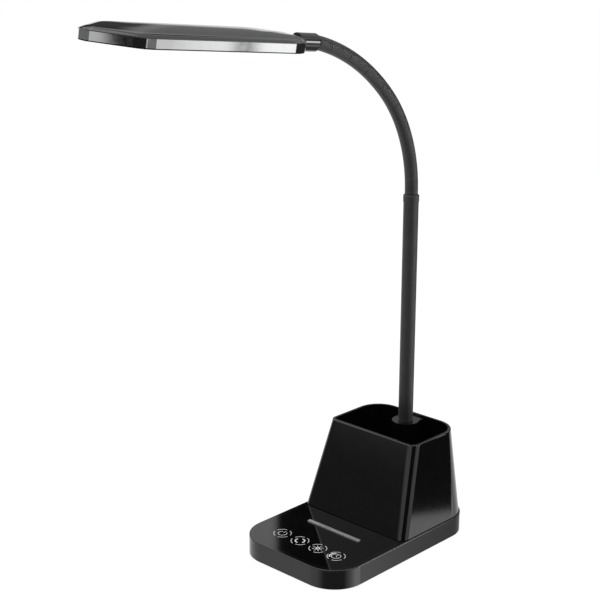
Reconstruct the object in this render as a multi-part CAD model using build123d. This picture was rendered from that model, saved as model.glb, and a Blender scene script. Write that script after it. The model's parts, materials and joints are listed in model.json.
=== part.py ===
from build123d import *
import os
from math import cos, radians, sin, sqrt

# Desk lamp with a touch-controlled base, a pen cup that a phone leans on, and a
# flexible neck that carries a flat LED head.  Millimetres.  X is the lamp's right,
# Y its back, Z up, and the origin is the centre of the pad's face on the table.

# ---------------------------------------------------------------- base
base_width = 110.0
base_depth = 171.0
base_height = 17.0
base_corner = 27.5
base_wall = 2.2
base_edge = 0.8
pad_thickness = 1.0
pad_inset = 5.0
cover_thickness = 2.0
cover_gap = 0.2
fit_gap = 0.1

panel_margin = 5.0
panel_thickness = 1.2
panel_to_cup = 3.0
touch_count = 4
touch_spacing = 19.4
touch_centre = 2.0
touch_from_front = 26.2
contact_r = 4.5
contact_play = 1.0
ledge_length = 55.0
ledge_width = 3.4
ledge_rise = 1.2
ledge_edge = 0.7
ledge_to_cup = 22.0

# ---------------------------------------------------------------- inside the base
post_r = 3.5
cover_screw_side = 9.0
cover_screw_from_front = 33.5
cover_screw_from_back = 75.5
corner_screw_side = 13.0
corner_screw_from_back = 21.5
board_lift = 2.0
board_thickness = 1.6
board_post_r = 2.4
board_screw_inset = 3.5
main_board_margin = 7.9
main_board_depth = 30.0
chip_size = 12.0
chip_height = 1.6
power_board_width = 23.0
power_board_depth = 22.0
power_board_side = 31.5
power_board_setback = 2.5
inlet_width = 10.0
inlet_depth = 12.0
inlet_body_height = 7.2
inlet_nose_r = 3.9
inlet_bore_r = 2.85
inlet_bore_depth = 9.5
inlet_pin_r = 1.05
inlet_pin_short = 1.5
ballast_from_front = 47.5
ballast_from_back = 39.5
ballast_thickness = 8.0
ballast_screw_inset = 14.0
ballast_head_r = 4.25
lead_r = 1.2
lead_bend_r = 5.0
lead_lane_gap = 1.0
lead_lane_from_board = 5.2
lead_straight = 3.0

# ---------------------------------------------------------------- screws
screw_r = 1.45
screw_head_r = 3.0
screw_head_height = 1.1
small_screw_r = 0.95
small_head_r = 1.8
small_head_height = 1.2
thread_gap = 0.05
screw_play = 0.25
screw_grip = 7.0
small_screw_grip = 1.8

# ---------------------------------------------------------------- pen cup
cup_height = 90.0
cup_depth = 90.3
cup_wall = 2.4
cup_floor = 2.7
cup_shadow_gap = 0.5
cup_skirt_inset = 1.0
cup_rim_edge = 0.8
cup_side_margin = 1.0
cup_back_margin = 1.2
cup_side_lean = 8.4
cup_front_lean = 22.0
cup_back_lean = 7.3
cup_foot_corner = 26.5
cup_rim_corner = 21.0
cup_front_corner = 7.0
cup_screw_side = 16.0
cup_screw_from_front = 18.0
cup_corner_screw_side = 22.0
cup_corner_screw_from_back = 16.3
cup_screw_grip = 4.2
boss_r = 11.3
boss_web = 18.0
boss_drop = 1.5

# ---------------------------------------------------------------- pole
pole_from_back = 25.0
tube_r = 5.0
tube_bore_r = 4.0
sleeve_r = 6.15
sleeve_end_height = 275.0
collar_r = 6.45
collar_height = 6.0
collar_edge = 1.2
washer_r = 10.0
washer_thickness = 1.5
nut_width = 17.0
nut_height = 5.0
tube_tail = 1.0
plug_depth = 20.0

# ---------------------------------------------------------------- flexible neck
neck_r = 5.25
ball_r = 5.1
ball_gap = 0.45
neck_start_height = 283.5
lower_bend_r = 115.0
lower_bend_angle = 45.0
upper_bend_r = 165.0
upper_bend_angle = 31.5
links_per_bend = 4

# ---------------------------------------------------------------- head
head_yaw = 4.7
head_pitch = 5.2
head_roll = 5.6
head_length = 180.0
head_width = 62.0
head_thickness = 9.6
tip_cut_length = 28.0
tip_cut_width = 27.0
root_cut_length = 18.5
root_cut_width = 20.8
shoulder_round = 20.0
end_round = 8.0
least_round = 1.0
crown_height = 2.4
crown_run = 6.0
cover_edge_height = 0.5
rim_step = 0.4
rim_height = 5.9
rim_wall = 2.0
rim_gap = 0.2
skirt_wall = 1.4
bezel_border = 8.0
bezel_lift = 1.5
lit_root_margin = 26.0
lit_tip_margin = 19.0
flange_border = 5.5
flange_thickness = 0.7
diffuser_recess = 0.2
reflector_thickness = 0.5
led_strip_thickness = 0.6
led_strip_length = 98.0
led_count = 14
led_size = 1.2
socket_r = 6.65
socket_length = 19.5
socket_edge = 0.9
tongue_width = 11.0
tongue_length = 19.0
tongue_thickness = 2.7
tongue_screw_near = 7.0
tongue_screw_far = 14.0
root_screw_from_end = 15.0
root_screw_side = 16.0
tip_screw_from_end = 11.0
tip_screw_side = 5.0
head_post_r = 2.2

# ---------------------------------------------------------------- places worked out from them
near = 0.01
base_front = -base_depth / 2
base_back = base_depth / 2
base_side = base_width / 2
inner_back = base_back - base_wall
cup_foot_half = base_side - cup_side_margin
cup_foot_back = base_back - cup_back_margin
cup_foot_front = cup_foot_back - cup_depth
pole_y = base_back - pole_from_back
panel_back = cup_foot_front - panel_to_cup
ledge_y = cup_foot_front - ledge_to_cup
touch_y = base_front + touch_from_front
touch_span = touch_spacing * (touch_count - 1)
touch_xs = [touch_centre - touch_span / 2 + touch_spacing * i for i in range(touch_count)]
main_board_half = touch_span / 2 + main_board_margin
power_board_x = power_board_side - base_side
inlet_back = inner_back - fit_gap
power_board_back = inlet_back - power_board_setback
lead_lane_x = touch_centre - main_board_half - lead_lane_from_board
ballast_half = -lead_lane_x - lead_r - lead_lane_gap
ballast_front = base_front + ballast_from_front
ballast_back = base_back - ballast_from_back
hinge_count = 2 * links_per_bend + 1

# ---------------------------------------------------------------- heights worked out from them
base_bottom = pad_thickness
cavity_floor = base_bottom + cover_thickness
cavity_roof = base_height - base_wall
panel_floor = base_height - panel_thickness
board_low = cavity_floor + board_lift
board_top = board_low + board_thickness
ballast_top = cavity_floor + ballast_thickness
lead_z = board_low + board_thickness / 2
inlet_z = board_top + inlet_body_height / 2
cup_low = base_height + cup_shadow_gap
cup_floor_top = base_height + cup_floor
boss_top = cup_height - boss_drop
collar_top = sleeve_end_height + collar_height
nut_top = cavity_roof - washer_thickness
tube_bottom = nut_top - nut_height - tube_tail

# ---------------------------------------------------------------- the head's places, from its top face down
cover_low = -(crown_height + cover_edge_height)
rim_low = cover_low - rim_height
head_low = -head_thickness
bezel_top = rim_low + bezel_lift
flange_top = bezel_top + flange_thickness
guide_top = cover_low - reflector_thickness
head_middle = -(crown_height + head_thickness) / 2
head_half = head_width / 2
lit_start = lit_root_margin
lit_end = head_length - lit_tip_margin
led_middle = (lit_start + head_length - tip_cut_length) / 2
tip_screw_x = head_length - tip_screw_from_end


def both_sides(spots):
    return [(side * x, y) for x, y in spots for side in (-1, 1)]


# ---------------------------------------------------------------- where the screws go
cover_screw_spots = both_sides([
    (base_side - cover_screw_side, base_front + cover_screw_from_front),
    (base_side - cover_screw_side, base_back - cover_screw_from_back),
    (base_side - corner_screw_side, base_back - corner_screw_from_back),
])
cup_screw_spots = both_sides([
    (cup_foot_half - cup_screw_side, cup_foot_front + cup_screw_from_front),
    (cup_foot_half - cup_corner_screw_side, cup_foot_back - cup_corner_screw_from_back),
])
ballast_screw_ys = [ballast_front + ballast_screw_inset, ballast_back - ballast_screw_inset]
main_screw_half = main_board_half - board_screw_inset
main_screw_reach = main_board_depth / 2 - board_screw_inset
main_screw_spots = [
    (touch_centre + i * main_screw_half, touch_y + j * main_screw_reach)
    for i in (-1, 1)
    for j in (-1, 1)
]
power_screw_half = power_board_width / 2 - board_screw_inset
power_screw_y = power_board_back - power_board_depth + board_screw_inset
power_screw_spots = [(power_board_x + i * power_screw_half, power_screw_y) for i in (-1, 1)]
board_screw_spots = main_screw_spots + power_screw_spots
tongue_screw_spots = [(tongue_screw_near, 0), (tongue_screw_far, 0)]
head_cover_spots = [
    (x, side * y)
    for x, y in ((root_screw_from_end, root_screw_side), (tip_screw_x, tip_screw_side))
    for side in (-1, 1)
]


def save(name, *solids):
    shape = solids[0] if len(solids) == 1 else Compound(children=list(solids))
    export_step(shape, "parts/" + name + ".step")


def rod(radius, low, high, x=0.0, y=0.0):
    return extrude(Pos(x, y, low) * Circle(radius), high - low)


def block(x0, x1, y0, y1, z0, z1):
    outline = Pos((x0 + x1) / 2, (y0 + y1) / 2, z0) * Rectangle(x1 - x0, y1 - y0)
    return extrude(outline, z1 - z0)


def screw(x, y, seat, grip, shank_r, head_r, head_height, up=1):
    """A screw whose head sits on the height seat and whose shank runs on by grip."""
    ends = sorted((seat, seat + up * grip))
    head = sorted((seat, seat - up * head_height))
    return rod(shank_r, ends[0], ends[1], x, y) + rod(head_r, head[0], head[1], x, y)


# ================================================================ base
def base_outline(inset, low, high):
    """The base's plan, drawn in by inset, between two heights."""
    width = base_width - 2 * inset
    depth = base_depth - 2 * inset
    return extrude(Pos(0, 0, low) * RectangleRounded(width, depth, base_corner - inset), high - low)


def panel_block(gap, low, high):
    """The touch panel's outline, grown by gap, between two heights."""
    inset = panel_margin - gap
    whole = base_outline(inset, low, high)
    keep = block(-base_width, base_width, -base_depth, panel_back + gap, low, high)
    return whole & keep


def ledge_block(gap, low, high):
    half_length = ledge_length / 2 + gap
    half_width = ledge_width / 2 + gap
    return block(-half_length, half_length, ledge_y - half_width, ledge_y + half_width, low, high)


def make_base_shell():
    shell = base_outline(0, base_bottom, base_height)
    rim = shell.edges().filter_by_position(Axis.Z, base_height - near, base_height + near)
    shell = fillet(rim, base_edge)
    shell -= base_outline(base_wall, base_bottom, cavity_roof)
    shell -= panel_block(fit_gap, panel_floor, base_height)
    for x, y in cover_screw_spots:
        shell += rod(post_r, cavity_floor, cavity_roof, x, y)
        shell -= rod(screw_r + thread_gap, cavity_floor, cavity_floor + screw_grip, x, y)
    for x in touch_xs:
        shell -= rod(contact_r + contact_play, cavity_roof, panel_floor, x, touch_y)
    for x, y in cup_screw_spots:
        shell -= rod(screw_r + screw_play, cavity_roof, base_height, x, y)
    shell -= rod(tube_r + fit_gap, cavity_roof, base_height, 0, pole_y)
    hole = Plane(origin=(power_board_x, inner_back, inlet_z), z_dir=(0, 1, 0))
    return shell - extrude(hole * Circle(inlet_nose_r + fit_gap), base_wall)


def make_touch_panel():
    panel = panel_block(0, panel_floor, base_height)
    return panel - ledge_block(fit_gap, panel_floor, base_height)


def make_ledge():
    bar = ledge_block(0, panel_floor, base_height + ledge_rise)
    top = bar.faces().sort_by(Axis.Z)[-1]
    return fillet(top.edges(), ledge_edge)


def make_bottom_cover():
    cover = base_outline(base_wall + cover_gap, base_bottom, cavity_floor)
    for x, y in cover_screw_spots:
        cover -= rod(screw_r + screw_play, base_bottom, cavity_floor, x, y)
        cover -= rod(screw_head_r + screw_play, base_bottom, base_bottom + screw_head_height, x, y)
    for x, y in board_screw_spots:
        cover += rod(board_post_r, cavity_floor, board_low, x, y)
        cover -= rod(small_screw_r + thread_gap, board_low - small_screw_grip, board_low, x, y)
    for y in ballast_screw_ys:
        cover += rod(post_r, cavity_floor, ballast_top, 0, y)
        cover -= rod(screw_r + thread_gap, ballast_top - screw_grip, ballast_top, 0, y)
    return cover


def make_cover_screws():
    seat = base_bottom + screw_head_height
    grip = cavity_floor + screw_grip - seat
    return [
        screw(x, y, seat, grip, screw_r, screw_head_r, screw_head_height)
        for x, y in cover_screw_spots
    ]


def make_pad():
    return base_outline(pad_inset, 0, pad_thickness)


def make_ballast():
    plate = block(-ballast_half, ballast_half, ballast_front, ballast_back, cavity_floor, ballast_top)
    for y in ballast_screw_ys:
        plate -= rod(post_r + screw_play, cavity_floor, ballast_top, 0, y)
    return plate


def make_ballast_screws():
    return [
        screw(0, y, ballast_top, screw_grip, screw_r, ballast_head_r, screw_head_height, -1)
        for y in ballast_screw_ys
    ]


def make_main_board():
    front = touch_y - main_board_depth / 2
    back = touch_y + main_board_depth / 2
    left = touch_centre - main_board_half
    board = block(left, touch_centre + main_board_half, front, back, board_low, board_top)
    chip_left = touch_centre + (touch_spacing - chip_size) / 2
    chip_back = touch_y - contact_r - fit_gap
    chip_front = front + fit_gap
    board += block(chip_left, chip_left + chip_size, chip_front, chip_back, board_top, board_top + chip_height)
    for x, y in main_screw_spots:
        board -= rod(small_screw_r + screw_play, board_low, board_top, x, y)
    return board


def make_power_board():
    half = power_board_width / 2
    board = block(
        power_board_x - half, power_board_x + half,
        power_board_back - power_board_depth, power_board_back, board_low, board_top,
    )
    for x, y in power_screw_spots:
        board -= rod(small_screw_r + screw_play, board_low, board_top, x, y)
    return board


def make_board_screws():
    grip = board_thickness + small_screw_grip
    return [
        screw(x, y, board_top, grip, small_screw_r, small_head_r, small_head_height, -1)
        for x, y in board_screw_spots
    ]


def make_touch_contacts():
    return [rod(contact_r, board_top, panel_floor, x, touch_y) for x in touch_xs]


def make_power_inlet():
    half = inlet_width / 2
    inlet = block(
        power_board_x - half, power_board_x + half, inlet_back - inlet_depth, inlet_back,
        board_top, board_top + inlet_body_height,
    )
    outward = Plane(origin=(power_board_x, inlet_back - base_wall, inlet_z), z_dir=(0, 1, 0))
    inlet += extrude(outward * Circle(inlet_nose_r), base_back - inlet_back + base_wall)
    bore = Plane(origin=(power_board_x, base_back - inlet_bore_depth, inlet_z), z_dir=(0, 1, 0))
    inlet -= extrude(bore * Circle(inlet_bore_r), inlet_bore_depth)
    inlet += extrude(bore * Circle(inlet_pin_r), inlet_bore_depth - inlet_pin_short)
    return inlet


def make_lead(points, radius):
    """A round wire that follows straight runs joined by arcs."""
    path = FilletPolyline(*points, radius=radius)
    start = Plane(origin=path @ 0, z_dir=path % 0)
    return sweep(start * Circle(lead_r), path=path)


def make_lamp_lead():
    start = power_board_x + power_board_width / 2
    plug_low = collar_top - plug_depth
    points = [(start, pole_y, lead_z), (0, pole_y, lead_z), (0, pole_y, plug_low)]
    return make_lead(points, lead_bend_r)


def make_board_lead():
    start_x = power_board_x - power_board_width / 2 + 2 * lead_r
    start_y = power_board_back - power_board_depth
    end_x = touch_centre - main_board_half
    points = [
        (start_x, start_y, lead_z),
        (start_x, start_y - lead_straight, lead_z),
        (lead_lane_x, ballast_back + lead_lane_gap, lead_z),
        (lead_lane_x, touch_y, lead_z),
        (end_x, touch_y, lead_z),
    ]
    return make_lead(points, lead_bend_r)


# ================================================================ pen cup
def cup_section(z, inset):
    """The cup's outline at the height z, drawn in by inset."""
    share = (z - base_height) / (cup_height - base_height)
    half = cup_foot_half - share * cup_side_lean - inset
    front = cup_foot_front + share * cup_front_lean + inset
    back = cup_foot_back - share * cup_back_lean - inset
    corner = cup_foot_corner + share * (cup_rim_corner - cup_foot_corner) - inset
    corners = [(half, front), (half, back), (-half, back), (-half, front)]
    outline = make_face(Polyline(*corners, close=True))
    outline = fillet(outline.vertices().sort_by(Axis.Y)[-2:], corner)
    outline = fillet(outline.vertices().sort_by(Axis.Y)[:2], cup_front_corner - inset)
    return Pos(0, 0, z) * outline


def cup_block(low, high, inset):
    return loft([cup_section(low, inset), cup_section(high, inset)], ruled=True)


def make_pen_cup():
    outside = cup_block(cup_low, cup_height, 0)
    cup = outside
    rim = cup.edges().filter_by_position(Axis.Z, cup_height - near, cup_height + near)
    cup = fillet(rim, cup_rim_edge)
    cup -= cup_block(cup_floor_top, cup_height + cup_wall, cup_wall)
    cup += cup_block(base_height, cup_low + cup_shadow_gap, cup_skirt_inset)
    boss = rod(boss_r, cup_floor_top, boss_top, 0, pole_y)
    web = block(-boss_web / 2, boss_web / 2, pole_y, base_back, cup_floor_top, boss_top)
    cup += (boss + web) & outside
    cup -= rod(tube_r + fit_gap, base_height, cup_height, 0, pole_y)
    for x, y in cup_screw_spots:
        cup -= rod(screw_r + thread_gap, base_height, cavity_roof + cup_screw_grip, x, y)
    return cup


def make_cup_screws():
    return [
        screw(x, y, cavity_roof, cup_screw_grip, screw_r, screw_head_r, screw_head_height)
        for x, y in cup_screw_spots
    ]


# ================================================================ pole
def make_pole_tube():
    return rod(tube_r, tube_bottom, collar_top, 0, pole_y) - rod(
        tube_bore_r, tube_bottom, collar_top, 0, pole_y
    )


def make_pole_sleeve():
    return rod(sleeve_r, boss_top, sleeve_end_height, 0, pole_y) - rod(
        tube_r + fit_gap, boss_top, sleeve_end_height, 0, pole_y
    )


def make_collar():
    ring = rod(collar_r, sleeve_end_height, collar_top, 0, pole_y)
    top = ring.faces().sort_by(Axis.Z)[-1]
    ring = fillet(top.edges(), collar_edge - fit_gap)
    return ring - rod(tube_r + fit_gap, sleeve_end_height, collar_top, 0, pole_y)


def make_washer():
    return rod(washer_r, nut_top, cavity_roof, 0, pole_y) - rod(
        tube_r + fit_gap, nut_top, cavity_roof, 0, pole_y
    )


def make_nut():
    low = nut_top - nut_height
    hexagon = Pos(0, pole_y, low) * RegularPolygon(nut_width / 2, 6, major_radius=False)
    return extrude(hexagon, nut_height) - rod(tube_r + thread_gap, low, nut_top, 0, pole_y)


# ================================================================ flexible neck
def bend_of(link):
    """Radius and turn of one link of the neck, counted from 0 at the pole."""
    if link < links_per_bend:
        return lower_bend_r, lower_bend_angle / links_per_bend
    return upper_bend_r, upper_bend_angle / links_per_bend


def neck_hinges():
    """Each hinge's centre and the neck's direction there, in degrees from upright."""
    y, z, angle = pole_y, neck_start_height, 0.0
    hinges = [(y, z, angle)]
    for link in range(hinge_count - 1):
        radius, turn = bend_of(link)
        after = angle + turn
        y -= radius * (cos(radians(angle)) - cos(radians(after)))
        z += radius * (sin(radians(after)) - sin(radians(angle)))
        angle = after
        hinges.append((y, z, angle))
    return hinges


hinges = neck_hinges()


def make_neck_plug():
    """The neck's first end: a spigot in the pole with the ball that the first link turns on."""
    plug = rod(tube_bore_r - fit_gap, collar_top - plug_depth, collar_top, 0, pole_y)
    plug += rod(neck_r, collar_top, neck_start_height, 0, pole_y)
    base_down = (Align.CENTER, Align.CENTER, Align.MIN)
    return plug + Pos(0, pole_y, neck_start_height) * Sphere(ball_r, arc_size1=0, align=base_down)


def make_link(link):
    y, z, angle = hinges[link]
    end_y, end_z, _ = hinges[link + 1]
    radius, turn = bend_of(link)
    along = (0, -sin(radians(angle)), cos(radians(angle)))
    centre = (0, y - radius * cos(radians(angle)), z - radius * sin(radians(angle)))
    section = Plane(origin=(0, y, z), x_dir=(1, 0, 0), z_dir=along) * Circle(neck_r)
    body = revolve(section, axis=Axis(centre, (1, 0, 0)), revolution_arc=turn)
    body += Pos(0, end_y, end_z) * Sphere(ball_r)
    return body - Pos(0, y, z) * Sphere(ball_r + ball_gap)


# ================================================================ head
def head_frame():
    """The head's own frame: X runs to its free end, Z up out of its top face."""
    yaw, pitch, roll = radians(head_yaw), radians(head_pitch), radians(head_roll)
    along = Vector(-sin(yaw) * cos(pitch), -cos(yaw) * cos(pitch), sin(pitch))
    across = along.cross(Vector(0, 0, 1)).normalized()
    up = across.cross(along)
    normal = up * cos(roll) - across * sin(roll)
    y, z, _ = hinges[-1]
    start = Vector(0, y, z) + along * socket_length - normal * head_middle
    return Plane(origin=start, x_dir=along, z_dir=normal)


head_place = head_frame().location


def head_outline(inset, start=0.0, end=head_length):
    """The head's plan, drawn in by inset and cut off square at start and at end."""
    side = [
        (0, head_half - root_cut_width),
        (root_cut_length, head_half),
        (head_length - tip_cut_length, head_half),
        (head_length, head_half - tip_cut_width),
    ]
    points = side + [(x, -y) for x, y in reversed(side)]
    outline = make_face(Polyline(*points, close=True))
    if inset:
        outline = offset(outline, amount=-inset, kind=Kind.INTERSECTION)
    outline = outline & (Pos((start + end) / 2, 0) * Rectangle(end - start, head_width))
    widest = head_half - inset - near
    ends = [corner for corner in outline.vertices() if abs(corner.Y) < widest]
    outline = fillet(ends, max(end_round - inset, least_round))
    shoulders = [corner for corner in outline.vertices() if abs(corner.Y) > widest]
    return fillet(shoulders, max(shoulder_round - inset, least_round))


def head_plate(inset, low, high, start=0.0, end=head_length):
    return extrude(Pos(0, 0, low) * head_outline(inset, start, end), high - low)


def lit_plate(inset, low, high):
    """A layer of the light panel, whose edge is inset from the head's edge."""
    more = bezel_border - inset
    return head_plate(inset, low, high, lit_start - more, lit_end + more)


def tongue_block(gap):
    """The tongue that ties the neck socket into the head, grown by gap."""
    half = tongue_width / 2 + gap
    high = bezel_top + tongue_thickness + gap
    return block(-socket_edge, tongue_length + gap, -half, half, bezel_top, high)


def make_head_cover():
    low = Pos(0, 0, -crown_height) * head_outline(rim_step)
    cover = loft([low, head_outline(crown_run)], ruled=True)
    cover += head_plate(rim_step, cover_low, -crown_height)
    outer = rim_wall + rim_gap
    cover += head_plate(outer, bezel_top, cover_low) - head_plate(outer + skirt_wall, bezel_top, cover_low)
    cover -= tongue_block(fit_gap)
    for x, y in head_cover_spots:
        cover += rod(head_post_r, bezel_top, cover_low, x, y)
        cover -= rod(small_screw_r + thread_gap, bezel_top, cover_low, x, y)
    return cover


def make_rim():
    ring = head_plate(0, rim_low, cover_low) - head_plate(rim_wall, rim_low, cover_low)
    return ring - tongue_block(fit_gap)


def make_bezel():
    bezel = head_plate(rim_step, head_low, rim_low) + head_plate(rim_wall + rim_gap, rim_low, bezel_top)
    bezel -= lit_plate(bezel_border, head_low, bezel_top)
    for x, y in tongue_screw_spots + head_cover_spots:
        bezel -= rod(small_screw_r + screw_play, head_low, bezel_top, x, y)
        bezel -= rod(small_head_r + screw_play, head_low, head_low + small_head_height, x, y)
    return bezel


def make_diffuser():
    panel = lit_plate(bezel_border + fit_gap, head_low + diffuser_recess, bezel_top)
    return panel + lit_plate(flange_border, bezel_top, flange_top)


def make_light_guide():
    return lit_plate(flange_border, flange_top, guide_top)


def make_reflector():
    return lit_plate(flange_border, guide_top, cover_low)


def make_led_strips():
    wall = head_half - rim_wall - rim_gap - skirt_wall - fit_gap
    low = led_middle - led_strip_length / 2
    high = led_middle + led_strip_length / 2
    strips = []
    for side in (-1, 1):
        edges = sorted((side * wall, side * (wall - led_strip_thickness)))
        strips.append(block(low, high, edges[0], edges[1], bezel_top, guide_top))
    return strips


def make_leds():
    strip = head_half - rim_wall - rim_gap - skirt_wall - fit_gap - led_strip_thickness
    guide = head_half - flange_border + fit_gap
    pitch = led_strip_length / led_count
    low = (flange_top + guide_top - led_size) / 2
    chips = []
    for side in (-1, 1):
        edges = sorted((side * strip, side * guide))
        for i in range(led_count):
            x = led_middle + pitch * (i - (led_count - 1) / 2)
            chips.append(block(x - led_size, x + led_size, edges[0], edges[1], low, low + led_size))
    return chips


def make_neck_socket():
    """The round end piece that turns on the neck's last ball, with the tongue inside the head."""
    bore = ball_r + ball_gap
    front = sqrt(bore ** 2 - neck_r ** 2) - socket_length
    mouth = (front, neck_r)
    lip = (front, socket_r - socket_edge)
    shoulder = (front + socket_edge, socket_r)
    pole = (bore - socket_length, 0)
    middle = (bore * cos(radians(45)) - socket_length, bore * sin(radians(45)))
    profile = Line(mouth, lip) + RadiusArc(lip, shoulder, socket_edge)
    profile += Polyline(shoulder, (0, socket_r), (0, 0), pole)
    profile += ThreePointArc(pole, middle, mouth)
    side = Plane(origin=(0, 0, head_middle), x_dir=(1, 0, 0), z_dir=(0, -1, 0))
    socket = revolve(make_face(side * profile), axis=Axis((0, 0, head_middle), (1, 0, 0)))
    tongue = tongue_block(0)
    for x, y in tongue_screw_spots:
        tongue -= rod(small_screw_r + thread_gap, bezel_top, bezel_top + tongue_thickness, x, y)
    return socket + tongue


def make_head_screws():
    seat = head_low + small_head_height
    tongue_top = bezel_top + tongue_thickness
    ends = [(x, y, tongue_top) for x, y in tongue_screw_spots]
    ends += [(x, y, cover_low) for x, y in head_cover_spots]
    return [
        screw(x, y, seat, top - seat, small_screw_r, small_head_r, small_head_height)
        for x, y, top in ends
    ]


def place_head(shapes):
    return [head_place * shape for shape in shapes]


# ================================================================ the nodes
os.makedirs("parts", exist_ok=True)

save("anti_slip_pad", make_pad())
save("bottom_cover", make_bottom_cover())
save("cover_screws", *make_cover_screws())
save("base_shell", make_base_shell())
save("touch_panel", make_touch_panel())
save("phone_ledge", make_ledge())
save("ballast_plate", make_ballast())
save("ballast_screws", *make_ballast_screws())
save("main_board", make_main_board())
save("power_board", make_power_board())
save("board_screws", *make_board_screws())
save("touch_contacts", *make_touch_contacts())
save("power_inlet", make_power_inlet())
save("lamp_lead", make_lamp_lead())
save("board_lead", make_board_lead())

save("pen_cup", make_pen_cup())
save("cup_screws", *make_cup_screws())

save("pole_tube", make_pole_tube())
save("pole_sleeve", make_pole_sleeve())
save("pole_collar", make_collar())
save("pole_washer", make_washer())
save("pole_nut", make_nut())
save("neck_plug", make_neck_plug())

for link in range(hinge_count - 1):
    save("neck_link_" + str(link + 1), make_link(link))

save("neck_socket", *place_head([make_neck_socket()]))
save("head_cover", *place_head([make_head_cover()]))
save("head_rim", *place_head([make_rim()]))
save("head_bezel", *place_head([make_bezel()]))
save("diffuser", *place_head([make_diffuser()]))
save("light_guide", *place_head([make_light_guide()]))
save("reflector", *place_head([make_reflector()]))
save("led_strips", *place_head(make_led_strips()))
save("leds", *place_head(make_leds()))
save("head_screws", *place_head(make_head_screws()))
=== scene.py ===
import json
import math

import bmesh
import bpy
from mathutils import Matrix, Vector


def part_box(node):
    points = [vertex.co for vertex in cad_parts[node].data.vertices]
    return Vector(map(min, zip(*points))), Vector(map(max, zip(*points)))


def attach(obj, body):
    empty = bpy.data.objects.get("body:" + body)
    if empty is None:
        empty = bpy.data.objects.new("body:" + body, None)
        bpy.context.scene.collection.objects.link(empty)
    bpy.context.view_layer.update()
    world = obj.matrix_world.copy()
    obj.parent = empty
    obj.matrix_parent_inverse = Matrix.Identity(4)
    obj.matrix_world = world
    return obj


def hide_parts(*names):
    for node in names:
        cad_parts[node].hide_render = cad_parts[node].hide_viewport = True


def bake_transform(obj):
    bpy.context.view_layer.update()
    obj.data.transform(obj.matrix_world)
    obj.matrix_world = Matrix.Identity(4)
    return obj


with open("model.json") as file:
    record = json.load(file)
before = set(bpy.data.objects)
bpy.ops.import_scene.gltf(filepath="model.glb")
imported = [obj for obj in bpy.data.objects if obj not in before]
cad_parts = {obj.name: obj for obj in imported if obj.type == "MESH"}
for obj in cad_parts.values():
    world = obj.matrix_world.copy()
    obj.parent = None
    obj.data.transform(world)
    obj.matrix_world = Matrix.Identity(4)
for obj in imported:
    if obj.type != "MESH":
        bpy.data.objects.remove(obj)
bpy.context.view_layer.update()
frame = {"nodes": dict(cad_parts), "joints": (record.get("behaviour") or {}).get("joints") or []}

# The looks of a desk lamp with a touch base and a pen cup, in metres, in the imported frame.

nodes = frame["nodes"]
MM = 0.001

# ------------------------------------------------------------ camera
CAMERA_PLACE = (0.6782, -0.7805, 0.5082)
CAMERA_AZIMUTH = math.radians(43.59)
CAMERA_DOWN = math.radians(16.33)
CAMERA_ROLL = math.radians(0.14)
CAMERA_LENS = 82.43
CAMERA_SENSOR = 36.0

# ------------------------------------------------------------ studio
# The floor is FLOOR_GREY where it takes light.  For the camera, FLOOR_SHARE of it glows
# at FLOOR_GLOW, so that it is nearly white and keeps a faint shadow.
FLOOR_HALF = 12.0
FLOOR_GREY = 0.86
FLOOR_SHARE = 0.86
FLOOR_GLOW = 1.09
# The strength of the even light from all round, as matt faces get it.
ROOM_LIGHT = 0.55
# What gloss faces see: white, with dark flags and soft boxes round the lamp.  Each row has
# the azimuths from and to, the elevations from and to, the half widths of the soft edges
# at its sides and at its top and bottom, all in degrees, and its brightness.  A later row
# covers an earlier one.
BACKDROP = [
    (-170.0, -61.0, -12.0, 6.0, 3.0, 3.0, 0.13),
    (-160.0, -100.0, 45.0, 70.0, 5.0, 5.0, 0.3),
    (-63.0, -58.4, -8.0, 5.0, 0.5, 1.5, 0.45),
    (-59.4, -9.0, -16.0, 40.0, 0.35, 1.0, 0.012),
    (-9.0, 31.2, -16.2, -12.0, 6.0, 1.0, 0.14),
    (31.2, 32.1, -16.2, -12.0, 0.35, 1.0, 0.58),
    (34.5, 35.5, -16.2, -12.0, 0.3, 1.0, 0.33),
    (39.5, 112.0, -16.6, 25.0, 1.2, 0.12, 0.02),
    (41.0, 60.0, -20.5, -16.7, 1.0, 0.15, 1.75),
    (33.0, 46.0, -6.0, 9.0, 1.5, 1.5, 12.0),
    (105.0, 139.0, 5.2, 13.0, 2.0, 0.8, 0.22),
    (105.0, 139.0, 13.0, 24.0, 2.0, 3.0, 0.38),
    (105.0, 139.0, 24.0, 50.0, 2.0, 4.0, 0.68),
    (138.3, 150.0, 5.2, 30.0, 0.6, 0.8, 0.06),
    (127.0, 134.6, 22.0, 30.0, 0.12, 0.8, 0.012),
    (134.8, 142.0, 23.0, 31.0, 0.12, 0.8, 0.95),
]
# What they see below the elevation FLOOR_LINE instead: brightness by azimuth.
# STRAIGHT_DOWN is past -90, so that this part has no soft edge at the bottom.
FLOOR_LINE = -24.0
FLOOR_LINE_SOFT = 1.0
STRAIGHT_DOWN = -95.0
FLOOR_BANDS = [
    (-180.0, 1.0), (-104.0, 1.0), (-92.0, 0.65), (-83.0, 0.3), (-75.0, 0.19), (-14.0, 0.19),
    (-7.0, 0.5), (10.0, 1.3), (28.0, 2.4), (45.0, 1.9), (50.0, 1.0), (53.0, 0.5),
    (66.0, 0.4), (100.0, 0.4), (115.0, 1.0), (180.0, 1.0),
]
# Where a Mix node has its factor and its two numbers, and their mix.
MIX_INPUTS = (0, 2, 3)
MIX_RESULT = 0
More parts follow.
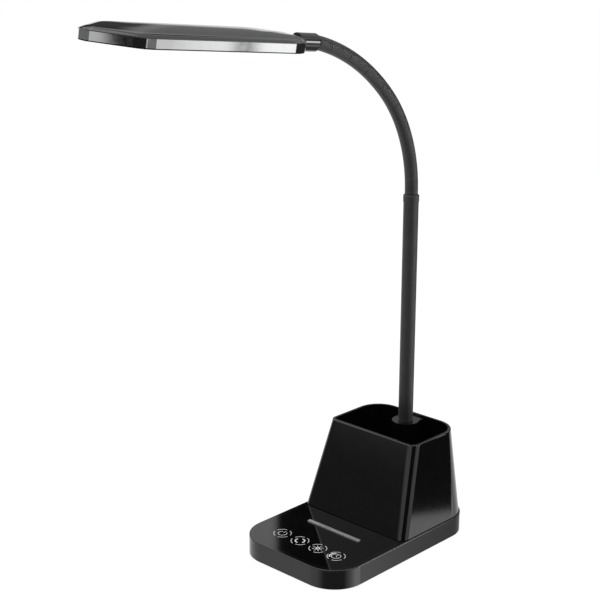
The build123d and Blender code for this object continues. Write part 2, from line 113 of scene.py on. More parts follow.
# Lights: name, place, size and power.  All of them point at LIGHT_TARGET.
LIGHT_TARGET = (0, 0, 0.2)
LIGHTS = [
    ("key", (-1.1, -0.6, 1.6), (2.0, 2.0), 13.0),
    ("fill", (1.4, 0.6, 1.3), (1.5, 2.0), 6.0),
    ("top", (0.0, -0.1, 1.9), (2.0, 1.6), 9.0),
]

# ------------------------------------------------------------ neck skin
LINK_COUNT = 8
SKIN_R = 5.3 * MM
SKIN_SIDES = 48
SKIN_STEP = 0.9 * MM
# Where the first cover starts, and how far past its hinge the last one ends.
COLLAR_TOP = 281.0 * MM
SOCKET_MOUTH = 1.7 * MM

# ------------------------------------------------------------ head top
HEAD_YAW = math.radians(4.7)
HEAD_PITCH = math.radians(5.2)
HEAD_ROLL = math.radians(5.6)
HEAD_LENGTH = 180.0 * MM
HEAD_HALF = 31.0 * MM
HEAD_FROM_HINGE = 19.5 * MM
HEAD_MIDDLE = 6.0 * MM
# What each corner of the plan loses, along the head and across it.
TIP_CUT = (28.0 * MM, 27.0 * MM)
ROOT_CUT = (18.5 * MM, 20.8 * MM)
SHOULDER_ROUND = 20.0 * MM
END_ROUND = 8.0 * MM
CORNER_STEPS = 10
OUTLINE_STEP = 3.0 * MM
# TOP_LOW and TOP_EDGE are heights, and the head's highest point is at 0.
TOP_INSET = 0.4 * MM
TOP_LOW = -2.9 * MM
TOP_EDGE = -2.4 * MM
TOP_ROUND = 0.35 * MM
TOP_ROUND_STEPS = 4
CROWN_RUN = 6.0 * MM
CROWN_SLOPE = 0.55
CROWN_RINGS = 6
DOME_HEIGHT = 0.5 * MM
DOME_RINGS = 14
# The share of the head's length that the dome's middle line runs along.
DOME_LENGTH = 0.6
MERGE = 1e-7

# ------------------------------------------------------------ ledge
# Where the groove starts, is deep, and ends, as shares of the bar's height.
LEDGE_GROOVE = (0.35, 0.40, 0.60, 0.65)
LEDGE_GROOVE_DEPTH = 0.7 * MM
LEDGE_EDGE = 0.3 * MM
LEDGE_END_SCALE = 0.75

# ------------------------------------------------------------ touch symbols
ICON_COUNT = 4
ICON_SPACING = 19.4 * MM
ICON_CENTRE = 2.0 * MM
ICON_FROM_FRONT = 26.2 * MM
ICON_R = 7.1 * MM
ICON_LINE = 0.5 * MM
ICON_RISE = 0.05 * MM
ICON_ROOT = 0.03 * MM
ARC_STEPS = 40
# The ring round each symbol is broken in four, by this many degrees each side of a gap.
RING_GAP = 12
# The symbols' strokes: a line's width in ICON_LINE, then an arc's radius, start and end in
# degrees, or a line's points.  Radii and points are in ICON_R from the symbol's middle.
POWER_SYMBOL = [
    (1.0, "arc", (0.5, 125, 415)),
    (1.0, "line", [(0, 0.15), (0, 0.62)]),
]
WARMTH_SYMBOL = [
    (2.2, "arc", (0.52, -20, 100)),
    (2.2, "arc", (0.52, 160, 280)),
]
SUN_DISC = (2.0, "arc", (0.2, 0, 360))
SUN_RAYS = 8
SUN_RAY_START = 0.38
SUN_RAY_LENGTH = 0.26
TIMER_SYMBOL = [
    (1.0, "arc", (0.52, 0, 360)),
    (2.4, "arc", (0.74, 130, 230)),
    (1.0, "line", [(0, 0.34), (0, 0), (0.22, -0.12)]),
]

# ------------------------------------------------------------ surfaces
# Noise scales are per metre, and most of a noise's values lie from NOISE_LOW to NOISE_HIGH.
NOISE_LOW = 0.3
NOISE_HIGH = 0.7
GLOSS_IOR = 1.47
GLOSS_PATCHES = 90.0
GLOSS_POLISH = 900.0
GLOSS_WAVES = 60.0
GRAIN_PATCHES = 60.0
SOFT_SHEEN = 0.06
SOFT_SHEEN_ROUGHNESS = 0.5
OPAL_DOTS = 700.0
OPAL_POLISH = 300.0
OPAL_SCATTER = 0.2
OPAL_DEPTH = 3.0 * MM
ACRYLIC_IOR = 1.49
ACRYLIC_CLEAR = 0.9
ACRYLIC_PATCHES = 50.0
ACRYLIC_POLISH = 400.0


# ============================================================ materials
def new_material(name):
    material = bpy.data.materials.new(name)
    material.use_nodes = True
    tree = material.node_tree
    return material, tree, tree.nodes["Principled BSDF"]


def link(tree, source, target):
    tree.links.new(source, target)


def feed(tree, socket, value):
    """Sets a socket to a number, or links another socket to it."""
    if isinstance(value, (int, float)):
        socket.default_value = value
    else:
        link(tree, value, socket)


def noise(tree, scale, detail=3.0, rough=0.55, stretch=None):
    """A noise texture on the part's own coordinates."""
    where = tree.nodes.new("ShaderNodeTexCoord")
    texture = tree.nodes.new("ShaderNodeTexNoise")
    texture.inputs["Scale"].default_value = scale
    texture.inputs["Detail"].default_value = detail
    texture.inputs["Roughness"].default_value = rough
    if stretch is None:
        link(tree, where.outputs["Object"], texture.inputs["Vector"])
    else:
        mapping = tree.nodes.new("ShaderNodeMapping")
        mapping.inputs["Scale"].default_value = stretch
        link(tree, where.outputs["Object"], mapping.inputs["Vector"])
        link(tree, mapping.outputs["Vector"], texture.inputs["Vector"])
    return texture.outputs["Fac"]


def spread(tree, value, low, high):
    """Maps a noise value to the range from low to high."""
    ramp = tree.nodes.new("ShaderNodeMapRange")
    ramp.inputs["From Min"].default_value = NOISE_LOW
    ramp.inputs["From Max"].default_value = NOISE_HIGH
    ramp.inputs["To Min"].default_value = low
    ramp.inputs["To Max"].default_value = high
    link(tree, value, ramp.inputs["Value"])
    return ramp.outputs["Result"]


def tint(tree, value, dark, light, start=0.35, end=0.65):
    """Mixes two colours by a value."""
    ramp = tree.nodes.new("ShaderNodeValToRGB")
    ramp.color_ramp.elements[0].position = start
    ramp.color_ramp.elements[0].color = (*dark, 1)
    ramp.color_ramp.elements[1].position = end
    ramp.color_ramp.elements[1].color = (*light, 1)
    link(tree, value, ramp.inputs["Fac"])
    return ramp.outputs["Color"]


def bump(tree, shader, value, height, distance):
    """Roughens a shader's surface by a value."""
    node = tree.nodes.new("ShaderNodeBump")
    node.inputs["Strength"].default_value = height
    node.inputs["Distance"].default_value = distance
    link(tree, value, node.inputs["Height"])
    link(tree, node.outputs["Normal"], shader.inputs["Normal"])


def gloss_black(name, dark, light, rough_low, rough_high, wave):
    """Moulded gloss plastic, with faint flow waves and uneven polish."""
    material, tree, shader = new_material(name)
    patches = noise(tree, GLOSS_PATCHES, detail=4.0)
    link(tree, tint(tree, patches, dark, light), shader.inputs["Base Color"])
    polish = noise(tree, GLOSS_POLISH, detail=2.0)
    link(tree, spread(tree, polish, rough_low, rough_high), shader.inputs["Roughness"])
    waves = noise(tree, GLOSS_WAVES, detail=1.0, rough=0.3)
    bump(tree, shader, waves, wave, distance=0.0003)
    shader.inputs["IOR"].default_value = GLOSS_IOR
    return material


def grained(name, dark, light, rough_low, rough_high, grain, height):
    """A fine textured surface, such as soft-touch rubber or spark-eroded plastic."""
    material, tree, shader = new_material(name)
    texture = noise(tree, grain, detail=2.0, rough=0.6)
    patches = noise(tree, GRAIN_PATCHES, detail=3.0)
    link(tree, tint(tree, patches, dark, light), shader.inputs["Base Color"])
    link(tree, spread(tree, texture, rough_low, rough_high), shader.inputs["Roughness"])
    bump(tree, shader, texture, height, distance=0.0001)
    return material


def soft_touch():
    dark, light = (0.014, 0.014, 0.0148), (0.019, 0.019, 0.020)
    material = grained("soft_touch", dark, light, 0.44, 0.56, 5200.0, 0.12)
    shader = material.node_tree.nodes["Principled BSDF"]
    shader.inputs["Sheen Weight"].default_value = SOFT_SHEEN
    shader.inputs["Sheen Roughness"].default_value = SOFT_SHEEN_ROUGHNESS
    return material


def metal(name, dark, light, rough_low, rough_high, grain, stretch=None):
    material, tree, shader = new_material(name)
    texture = noise(tree, grain, detail=3.0, rough=0.6, stretch=stretch)
    link(tree, tint(tree, texture, dark, light), shader.inputs["Base Color"])
    link(tree, spread(tree, texture, rough_low, rough_high), shader.inputs["Roughness"])
    shader.inputs["Metallic"].default_value = 1.0
    return material


def dotted_opal():
    """The light panel's opal sheet, with its fine grid of dots."""
    material, tree, shader = new_material("opal_sheet")
    where = tree.nodes.new("ShaderNodeTexCoord")
    cells = tree.nodes.new("ShaderNodeTexVoronoi")
    cells.inputs["Scale"].default_value = OPAL_DOTS
    cells.inputs["Randomness"].default_value = 0.0
    link(tree, where.outputs["Object"], cells.inputs["Vector"])
    dots = cells.outputs["Distance"]
    colour = tint(tree, dots, (0.90, 0.90, 0.88), (0.86, 0.86, 0.84), start=0.2, end=0.6)
    link(tree, colour, shader.inputs["Base Color"])
    link(tree, spread(tree, noise(tree, OPAL_POLISH), 0.35, 0.5), shader.inputs["Roughness"])
    bump(tree, shader, dots, 0.03, distance=0.0001)
    shader.inputs["Subsurface Weight"].default_value = OPAL_SCATTER
    shader.inputs["Subsurface Radius"].default_value = (OPAL_DEPTH, OPAL_DEPTH, OPAL_DEPTH)
    return material


def clear_acrylic():
    material, tree, shader = new_material("clear_acrylic")
    colour = tint(tree, noise(tree, ACRYLIC_PATCHES), (0.90, 0.94, 0.94), (0.95, 0.97, 0.97))
    link(tree, colour, shader.inputs["Base Color"])
    link(tree, spread(tree, noise(tree, ACRYLIC_POLISH), 0.02, 0.08), shader.inputs["Roughness"])
    shader.inputs["Transmission Weight"].default_value = ACRYLIC_CLEAR
    shader.inputs["IOR"].default_value = ACRYLIC_IOR
    return material


def paint_nodes(material, *names):
    """Gives CAD nodes one material all over."""
    for name in names:
        mesh = nodes[name].data
        mesh.materials.clear()
        mesh.materials.append(material)


# Each has its darker and its lighter colour and its least and greatest roughness, and then
# the waves' height for gloss, the grain's scale and height, or the metal's grain.
BLACK = gloss_black(
    "gloss_black", (0.0030, 0.0030, 0.0032), (0.0044, 0.0044, 0.0047), 0.03, 0.06, 0.015)
PANEL = gloss_black(
    "panel_black", (0.0014, 0.0014, 0.0016), (0.0022, 0.0022, 0.0025), 0.03, 0.05, 0.006)
SATIN = grained(
    "satin_black", (0.018, 0.018, 0.019), (0.026, 0.026, 0.027), 0.45, 0.6, 3200.0, 0.35)
RUBBER = grained(
    "pad_rubber", (0.020, 0.020, 0.020), (0.032, 0.032, 0.031), 0.75, 0.9, 1500.0, 0.5)
SOFT = soft_touch()
CHROME = metal("bright_band", (0.89, 0.895, 0.90), (0.94, 0.945, 0.95), 0.03, 0.06, 250.0)
STEEL = metal(
    "zinc_steel", (0.42, 0.43, 0.45), (0.60, 0.61, 0.62), 0.25, 0.42, 700.0, (1.0, 1.0, 0.2))
LEDGE = grained("ledge_grey", (0.20, 0.205, 0.21), (0.26, 0.265, 0.27), 0.28, 0.4, 1800.0, 0.1)
PRINT = grained("symbol_print", (0.62, 0.63, 0.64), (0.80, 0.81, 0.82), 0.4, 0.55, 2500.0, 0.1)
BOARD = grained(
    "green_board", (0.010, 0.085, 0.035), (0.020, 0.150, 0.060), 0.3, 0.45, 1400.0, 0.2)
WHITE_BOARD = grained(
    "white_board", (0.70, 0.71, 0.70), (0.84, 0.85, 0.84), 0.35, 0.5, 1400.0, 0.1)
FILM = grained("white_film", (0.86, 0.86, 0.86), (0.93, 0.93, 0.93), 0.5, 0.65, 1000.0, 0.1)
PHOSPHOR = grained("phosphor", (0.80, 0.55, 0.08), (0.90, 0.70, 0.16), 0.3, 0.45, 2500.0, 0.2)
FOAM = grained("contact_foam", (0.03, 0.03, 0.03), (0.07, 0.07, 0.07), 0.8, 0.95, 2500.0, 0.7)
JACKET = grained("wire_jacket", (0.45, 0.45, 0.45), (0.58, 0.58, 0.58), 0.4, 0.55, 2200.0, 0.15)
OPAL = dotted_opal()
CLEAR = clear_acrylic()

paint_nodes(BLACK, "base_shell", "pen_cup", "head_cover", "head_bezel", "neck_socket")
paint_nodes(PANEL, "touch_panel")
paint_nodes(LEDGE, "phone_ledge")
paint_nodes(RUBBER, "anti_slip_pad")
paint_nodes(SATIN, "bottom_cover", "power_inlet")
paint_nodes(SOFT, "pole_sleeve", "pole_collar", "neck_plug")
paint_nodes(SOFT, *["neck_link_%d" % (k + 1) for k in range(LINK_COUNT)])
paint_nodes(CHROME, "head_rim")
paint_nodes(
    STEEL, "cover_screws", "ballast_plate", "ballast_screws", "board_screws", "cup_screws",
    "pole_tube", "pole_washer", "pole_nut", "head_screws",
)
paint_nodes(BOARD, "main_board", "power_board")
paint_nodes(WHITE_BOARD, "led_strips")
paint_nodes(FILM, "reflector")
paint_nodes(PHOSPHOR, "leds")
paint_nodes(FOAM, "touch_contacts")
paint_nodes(JACKET, "lamp_lead", "board_lead")
paint_nodes(OPAL, "diffuser")
paint_nodes(CLEAR, "light_guide")


# ============================================================ meshes
def piece(name, bm, material, body=None, smooth=True):
    """Makes a mesh object of bm and lets it ride on a body, if one is given."""
    mesh = bpy.data.meshes.new(name)
    bmesh.ops.recalc_face_normals(bm, faces=bm.faces)
    bm.to_mesh(mesh)
    bm.free()
    if smooth:
        mesh.shade_smooth()
    mesh.materials.append(material)
    thing = bpy.data.objects.new(name, mesh)
    bpy.context.scene.collection.objects.link(thing)
    if body:
        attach(thing, body)
    return thing


def bridge_rings(bm, rings, closed_ends=True):
    """Skins a list of equal rings of vertices, with a cap at each end if they are closed."""
    count = len(rings[0])
    for ring, after in zip(rings, rings[1:]):
        for i in range(count):
            j = (i + 1) % count
            bm.faces.new((ring[i], ring[j], after[j], after[i]))
    if closed_ends:
        bm.faces.new(list(reversed(rings[0])))
        bm.faces.new(rings[-1])


# ------------------------------------------------------------ neck
def neck_line():
    """The hinges' centres and the neck's angle from upright at each."""
    places = [Vector(joint["pos_m"]) for joint in frame["joints"]]
    angles = [0.0]
    for start, end in zip(places, places[1:]):
        chord = math.atan2(start.y - end.y, end.z - start.z)
        angles.append(2 * chord - angles[-1])
    return places, angles


def along_link(places, angles, link_index, share):
    """A point on a link's arc and the neck's angle there."""
    start, end = places[link_index], places[link_index + 1]
    turn = angles[link_index + 1] - angles[link_index]
    radius = (end - start).length / (2 * math.sin(turn / 2))
    angle = angles[link_index] + turn * share
    first = angles[link_index]
    forward = radius * (math.cos(first) - math.cos(angle))
    rise = radius * (math.sin(angle) - math.sin(first))
    return start + Vector((0, -forward, rise)), angle


def skin_ring(bm, centre, angle, radius):
    side = Vector((1, 0, 0))
    up = Vector((0, math.cos(angle), math.sin(angle)))
    ring = []
    for i in range(SKIN_SIDES):
        a = 2 * math.pi * i / SKIN_SIDES
        ring.append(bm.verts.new(centre + radius * (math.cos(a) * side + math.sin(a) * up)))
    return ring


def direction(angle):
    """The way the neck runs at an angle from upright."""
    return Vector((0, -math.sin(angle), math.cos(angle)))


def skin_stations(places, angles, k):
    """The middle line of the cover round hinge k, as points with the neck's angle there."""
    hinge, angle = places[k], angles[k]
    if k == 0:
        low = COLLAR_TOP - hinge.z
        count = math.ceil(-low / SKIN_STEP)
        rises = [low * (1 - i / count) for i in range(count)]
        stations = [(hinge + Vector((0, 0, rise)), angle) for rise in rises]
    else:
        length = (places[k] - places[k - 1]).length / 2
        count = math.ceil(length / SKIN_STEP)
        shares = [0.5 + 0.5 * i / count for i in range(count)]
        stations = [along_link(places, angles, k - 1, share) for share in shares]
    if k == len(places) - 1:
        stations += [(hinge, angle), (hinge + SOCKET_MOUTH * direction(angle), angle)]
    else:
        length = (places[k + 1] - places[k]).length / 2
        count = math.ceil(length / SKIN_STEP)
        shares = [0.5 * i / count for i in range(count + 1)]
        stations += [along_link(places, angles, k, share) for share in shares]
    return stations


def make_neck_skins():
    """One stretch of soft cover round each hinge, from the middle of a link to the next."""
    places, angles = neck_line()
    last = len(places) - 1
    for k, (hinge, angle) in enumerate(zip(places, angles)):
        bm = bmesh.new()
        stations = skin_stations(places, angles, k)
        bridge_rings(bm, [skin_ring(bm, centre, tilt, SKIN_R) for centre, tilt in stations])
        skin = piece("neck_cover_%d" % (k + 1), bm, SOFT)
        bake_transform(skin)
        if k < last:
            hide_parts("neck_link_%d" % (k + 1))
        if k == 0:
            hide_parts("neck_plug")


# ------------------------------------------------------------ head
def head_matrix():
    """The head's own frame: X runs to its free end, Z up out of its top face."""
    along = Vector((
        -math.sin(HEAD_YAW) * math.cos(HEAD_PITCH),
        -math.cos(HEAD_YAW) * math.cos(HEAD_PITCH),
        math.sin(HEAD_PITCH),
    ))
    across = along.cross(Vector((0, 0, 1))).normalized()
    up = across.cross(along)
    normal = up * math.cos(HEAD_ROLL) - across * math.sin(HEAD_ROLL)
    hinge = Vector(frame["joints"][-1]["pos_m"])
    start = hinge + along * HEAD_FROM_HINGE + normal * HEAD_MIDDLE
    turn = Matrix((along, normal.cross(along), normal)).transposed()
    return Matrix.Translation(start) @ turn.to_4x4()


def rounded_outline(corners):
    """Points round a plan given as (x, y, radius) corners, even on its straight runs."""
    points = []
    count = len(corners)
    for i, (x, y, radius) in enumerate(corners):
        here = Vector((x, y))
        back = (Vector(corners[i - 1][:2]) - here).normalized()
        ahead = (Vector(corners[(i + 1) % count][:2]) - here).normalized()
        half = back.angle(ahead) / 2
        reach = radius / math.tan(half)
        centre = here + (back + ahead).normalized() * radius / math.sin(half)
        first, last = here + back * reach - centre, here + ahead * reach - centre
        if points:
            points += between(points[-1], centre + first)
        sweep = first.angle_signed(last)
        for k in range(CORNER_STEPS + 1):
            a = -sweep * k / CORNER_STEPS
            turned = Vector((
                first.x * math.cos(a) - first.y * math.sin(a),
                first.x * math.sin(a) + first.y * math.cos(a),
            ))
            points.append(centre + turned)
    points += between(points[-1], points[0])
    return points


def between(start, end):
    """Points evenly spaced between start and end, without either."""
    count = max(1, math.ceil((end - start).length / OUTLINE_STEP))
    return [start.lerp(end, i / count) for i in range(1, count)]


def head_corners():
    """The corners of the head's plan, as (x, y, radius), all the way round."""
    near_side = [
        (0.0, HEAD_HALF - ROOT_CUT[1], END_ROUND),
        (ROOT_CUT[0], HEAD_HALF, SHOULDER_ROUND),
        (HEAD_LENGTH - TIP_CUT[0], HEAD_HALF, SHOULDER_ROUND),
        (HEAD_LENGTH, HEAD_HALF - TIP_CUT[1], END_ROUND),
    ]
    return near_side + [(x, -y, radius) for x, y, radius in reversed(near_side)]


def crown_height(run):
    """The cover's height at a distance run inside its rounded edge; its middle is at 0."""
    flat_slope = 2 * DOME_HEIGHT / (HEAD_HALF - CROWN_RUN)
    if run >= CROWN_RUN:
        return -DOME_HEIGHT * (1 - (run - CROWN_RUN) / (HEAD_HALF - CROWN_RUN)) ** 2
    t = run / CROWN_RUN
    start = (2 * t ** 3 - 3 * t ** 2 + 1) * TOP_EDGE
    start += (t ** 3 - 2 * t ** 2 + t) * CROWN_SLOPE * CROWN_RUN
    end = (3 * t ** 2 - 2 * t ** 3) * -DOME_HEIGHT
    end += (t ** 3 - t ** 2) * flat_slope * CROWN_RUN
    return start + end


def make_head_top():
    """The head's cover: a crowned edge round a plate that is domed very slightly."""
    outline = rounded_outline(head_corners())
    centre = Vector((HEAD_LENGTH / 2, 0))
    place = head_matrix()
    bm = bmesh.new()

    def ring(inset, height):
        verts = []
        for point in outline:
            goal = Vector((centre.x + DOME_LENGTH * (point.x - centre.x), 0))
            drawn_in = point.lerp(goal, inset / HEAD_HALF)
            verts.append(bm.verts.new(place @ Vector((drawn_in.x, drawn_in.y, height))))
        return verts

    rings = [ring(TOP_INSET, TOP_LOW)]
    for k in range(TOP_ROUND_STEPS + 1):
        a = math.pi / 2 * k / TOP_ROUND_STEPS
        inset = TOP_INSET + TOP_ROUND * (1 - math.cos(a))
        rings.append(ring(inset, TOP_EDGE - TOP_ROUND * (1 - math.sin(a))))
    first = TOP_INSET + TOP_ROUND
    runs = [CROWN_RUN * k / CROWN_RINGS for k in range(1, CROWN_RINGS)]
    dome_run = HEAD_HALF - CROWN_RUN
    runs += [CROWN_RUN + dome_run * k / DOME_RINGS for k in range(DOME_RINGS + 1)]
    for run in runs:
        rings.append(ring(first + (HEAD_HALF - first) * run / HEAD_HALF, crown_height(run)))
    bridge_rings(bm, rings, closed_ends=False)
    bm.faces.new(list(reversed(rings[0])))
    bmesh.ops.remove_doubles(bm, verts=bm.verts, dist=MERGE)
    top = piece("head_top", bm, BLACK, "lamp_head")
    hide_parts("head_cover")


# ------------------------------------------------------------ ledge
def make_ledge():
    """The bar that keeps a phone from sliding, with a groove along its front."""
    low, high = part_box("phone_ledge")
    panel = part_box("touch_panel")[1].z
    rise = high.z - panel
    profile = [
        (low.y, low.z),
        (low.y, panel + LEDGE_GROOVE[0] * rise),
        (low.y + LEDGE_GROOVE_DEPTH, panel + LEDGE_GROOVE[1] * rise),
        (low.y + LEDGE_GROOVE_DEPTH, panel + LEDGE_GROOVE[2] * rise),
        (low.y, panel + LEDGE_GROOVE[3] * rise),
        (low.y, high.z - LEDGE_EDGE),
        (low.y + LEDGE_EDGE, high.z),
        (high.y - LEDGE_EDGE, high.z),
        (high.y, high.z - LEDGE_EDGE),
        (high.y, low.z),
    ]
    middle_y, middle_z = (low.y + high.y) / 2, (low.z + high.z) / 2
    bm = bmesh.new()
    rings = []
    for x, scale in (
        (low.x, LEDGE_END_SCALE),
        (low.x + LEDGE_EDGE, 1.0),
        (high.x - LEDGE_EDGE, 1.0),
        (high.x, LEDGE_END_SCALE),
    ):
        section = [
            (x, middle_y + scale * (y - middle_y), middle_z + scale * (z - middle_z))
            for y, z in profile
        ]
        rings.append([bm.verts.new(corner) for corner in section])
    bridge_rings(bm, rings)
    bar = piece("ledge_bar", bm, LEDGE, "lamp_base", smooth=False)
    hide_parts("phone_ledge")


# ------------------------------------------------------------ touch symbols
def stroke(bm, points, width):
    """A flat printed line of even width through points on the panel."""
    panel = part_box("touch_panel")[1].z
    section = ((1, ICON_RISE), (-1, ICON_RISE), (-1, -ICON_ROOT), (1, -ICON_ROOT))
    rings = []
    for i, (x, y) in enumerate(points):
        before = points[i - 1] if i else (x, y)
        after = points[i + 1] if i < len(points) - 1 else (x, y)
        run = (Vector(after) - Vector(before)).normalized()
        across = Vector((-run.y, run.x)) * width / 2
        rings.append([
            bm.verts.new((x + side * across.x, y + side * across.y, panel + height))
            for side, height in section
        ])
    bridge_rings(bm, rings)


def arc(x, y, radius, start, end):
    """Points along an arc, with angles in degrees."""
    points = []
    for i in range(ARC_STEPS + 1):
        a = math.radians(start + (end - start) * i / ARC_STEPS)
        points.append((x + radius * math.cos(a), y + radius * math.sin(a)))
    return points


def draw(bm, x, y, strokes):
    """Draws a symbol's strokes round its middle."""
    for width, kind, shape in strokes:
        if kind == "arc":
            radius, start, end = shape
            points = arc(x, y, radius * ICON_R, start, end)
        else:
            points = [(x + across * ICON_R, y + up * ICON_R) for across, up in shape]
        stroke(bm, points, width * ICON_LINE)


def draw_sun(bm, x, y):
    draw(bm, x, y, [SUN_DISC])
    for i in range(SUN_RAYS):
        a = math.radians(360 / SUN_RAYS * i)
        ray = Vector((math.cos(a), math.sin(a)))
        start = Vector((x, y)) + SUN_RAY_START * ICON_R * ray
        stroke(bm, [start, start + SUN_RAY_LENGTH * ICON_R * ray], ICON_LINE)


def make_symbols():
    """Power, warmth, brightness and timer, each in a broken ring, from left to right."""
    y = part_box("base_shell")[0].y + ICON_FROM_FRONT
    bm = bmesh.new()
    for i, symbol in enumerate((POWER_SYMBOL, WARMTH_SYMBOL, None, TIMER_SYMBOL)):
        x = ICON_CENTRE + ICON_SPACING * (i - (ICON_COUNT - 1) / 2)
        for quarter in range(4):
            start = 90 * quarter + RING_GAP
            stroke(bm, arc(x, y, ICON_R, start, start + 90 - 2 * RING_GAP), ICON_LINE)
        if symbol:
            draw(bm, x, y, symbol)
        else:
            draw_sun(bm, x, y)
    piece("touch_symbols", bm, PRINT, "lamp_base", smooth=False)


# ============================================================ studio
def angle_band(tree, value, low, high, soft):
    """One inside the band from low to high and zero outside, with soft edges."""
    rise = tree.nodes.new("ShaderNodeMapRange")
    fall = tree.nodes.new("ShaderNodeMapRange")
    for node, edge in ((rise, low), (fall, high)):
        node.interpolation_type = "SMOOTHSTEP"
        node.inputs["From Min"].default_value = edge - soft
        node.inputs["From Max"].default_value = edge + soft
        link(tree, value, node.inputs["Value"])
    fall.inputs["To Min"].default_value = 1.0
    fall.inputs["To Max"].default_value = 0.0
    return math_node(tree, "MULTIPLY", rise.outputs["Result"], fall.outputs["Result"])


def math_node(tree, operation, *values):
    node = tree.nodes.new("ShaderNodeMath")
    node.operation = operation
    for socket, value in zip(node.inputs, values):
        feed(tree, socket, value)
    return node.outputs["Value"]


def compass(tree):
    """Azimuth from +X and elevation of a direction, in degrees."""
    where = tree.nodes.new("ShaderNodeTexCoord")
    split = tree.nodes.new("ShaderNodeSeparateXYZ")
    link(tree, where.outputs["Generated"], split.inputs["Vector"])
    bearing = math_node(tree, "ARCTAN2", split.outputs["Y"], split.outputs["X"])
    azimuth = math_node(tree, "DEGREES", bearing)
    elevation = math_node(tree, "DEGREES", math_node(tree, "ARCSINE", split.outputs["Z"]))
    return azimuth, elevation


def blend(tree, share, first, second):
    """A mix of two numbers."""
    node = tree.nodes.new("ShaderNodeMix")
    for index, value in zip(MIX_INPUTS, (share, first, second)):
        feed(tree, node.inputs[index], value)
    return node.outputs[MIX_RESULT]


def backdrop(tree):
    """The studio's brightness by direction, as gloss faces see it."""
    azimuth, elevation = compass(tree)
    light = 1.0
    for left, right, low, high, soft_side, soft_height, level in BACKDROP:
        side = angle_band(tree, azimuth, left, right, soft_side)
        height = angle_band(tree, elevation, low, high, soft_height)
        light = blend(tree, math_node(tree, "MULTIPLY", side, height), light, level)
    ramp = tree.nodes.new("ShaderNodeValToRGB")
    stops = ramp.color_ramp.elements
    for bearing, _ in FLOOR_BANDS[1:-1]:
        stops.new((bearing + 180) / 360)
    for stop, (_, level) in zip(stops, FLOOR_BANDS):
        stop.color = (level, level, level, 1)
    turn = math_node(tree, "DIVIDE", math_node(tree, "ADD", azimuth, 180.0), 360.0)
    link(tree, turn, ramp.inputs["Fac"])
    below = angle_band(tree, elevation, STRAIGHT_DOWN, FLOOR_LINE, FLOOR_LINE_SOFT)
    return blend(tree, below, light, ramp.outputs["Color"])


def background(tree, strength):
    node = tree.nodes.new("ShaderNodeBackground")
    node.inputs["Color"].default_value = (1, 1, 1, 1)
    feed(tree, node.inputs["Strength"], strength)
    return node.outputs["Background"]


def either(tree, share, first, second):
    """A mix of two shaders."""
    node = tree.nodes.new("ShaderNodeMixShader")
    link(tree, share, node.inputs["Fac"])
    link(tree, first, node.inputs[1])
    link(tree, second, node.inputs[2])
    return node.outputs["Shader"]


def seen_directly(tree, path):
    """One where the camera looks, also through clear pieces, and zero elsewhere."""
    camera_ray, clear_ray = path.outputs["Is Camera Ray"], path.outputs["Is Transmission Ray"]
    return math_node(tree, "MAXIMUM", camera_ray, clear_ray)


def make_world():
    """White for the camera, soft light for matt faces, and the backdrop for gloss ones."""
    world = bpy.data.worlds.new("studio")
    bpy.context.scene.world = world
    world.use_nodes = True
    tree = world.node_tree
    tree.nodes.clear()
    path = tree.nodes.new("ShaderNodeLightPath")
    room = background(tree, ROOM_LIGHT)
    inner = either(tree, path.outputs["Is Glossy Ray"], room, background(tree, backdrop(tree)))
    seen = seen_directly(tree, path)
    out = tree.nodes.new("ShaderNodeOutputWorld")
    link(tree, either(tree, seen, inner, background(tree, 1.0)), out.inputs["Surface"])


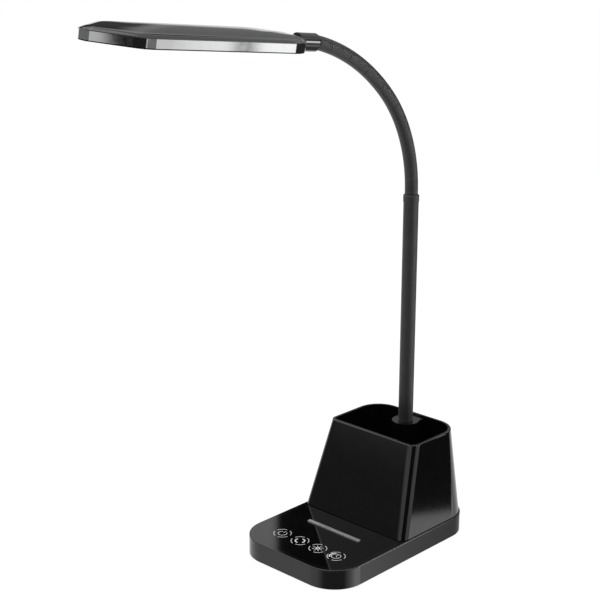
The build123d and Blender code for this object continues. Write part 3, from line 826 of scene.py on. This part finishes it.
def floor_material():
    """A white floor that keeps a faint shadow, and that gloss faces see through."""
    material = bpy.data.materials.new("floor_white")
    material.use_nodes = True
    tree = material.node_tree
    tree.nodes.clear()
    diffuse = tree.nodes.new("ShaderNodeBsdfDiffuse")
    diffuse.inputs["Color"].default_value = (FLOOR_GREY, FLOOR_GREY, FLOOR_GREY, 1)
    glow = tree.nodes.new("ShaderNodeEmission")
    glow.inputs["Color"].default_value = (1, 1, 1, 1)
    glow.inputs["Strength"].default_value = FLOOR_GLOW
    clear = tree.nodes.new("ShaderNodeBsdfTransparent")
    path = tree.nodes.new("ShaderNodeLightPath")
    share = math_node(tree, "MULTIPLY", seen_directly(tree, path), FLOOR_SHARE)
    lit = either(tree, share, diffuse.outputs["BSDF"], glow.outputs["Emission"])
    out = tree.nodes.new("ShaderNodeOutputMaterial")
    passing = either(tree, path.outputs["Is Glossy Ray"], lit, clear.outputs["BSDF"])
    link(tree, passing, out.inputs["Surface"])
    return material


def make_floor():
    bm = bmesh.new()
    corners = [(-1, -1), (1, -1), (1, 1), (-1, 1)]
    bm.faces.new([bm.verts.new((FLOOR_HALF * x, FLOOR_HALF * y, 0)) for x, y in corners])
    mesh = bpy.data.meshes.new("floor")
    bm.to_mesh(mesh)
    bm.free()
    mesh.materials.append(floor_material())
    floor = bpy.data.objects.new("floor", mesh)
    bpy.context.scene.collection.objects.link(floor)


def soft_light(name, place, size, power):
    data = bpy.data.lights.new(name, "AREA")
    data.shape = "RECTANGLE"
    data.size, data.size_y = size
    data.energy = power
    lamp = bpy.data.objects.new(name, data)
    lamp.location = place
    aim = Vector(LIGHT_TARGET) - Vector(place)
    lamp.rotation_euler = aim.to_track_quat("-Z", "Y").to_euler()
    bpy.context.scene.collection.objects.link(lamp)


def make_camera():
    data = bpy.data.cameras.new("camera")
    data.lens = CAMERA_LENS
    data.sensor_width = CAMERA_SENSOR
    camera = bpy.data.objects.new("camera", data)
    turn = Matrix.Rotation(CAMERA_AZIMUTH, 4, "Z")
    tip = Matrix.Rotation(math.pi / 2 - CAMERA_DOWN, 4, "X")
    roll = Matrix.Rotation(CAMERA_ROLL, 4, "Z")
    camera.matrix_world = Matrix.Translation(CAMERA_PLACE) @ turn @ tip @ roll
    bpy.context.scene.collection.objects.link(camera)
    bpy.context.scene.camera = camera


make_camera()
make_world()
make_floor()
for light in LIGHTS:
    soft_light(*light)
make_neck_skins()
make_head_top()
make_ledge()
make_symbols()

bpy.context.scene.view_settings.view_transform = "Standard"
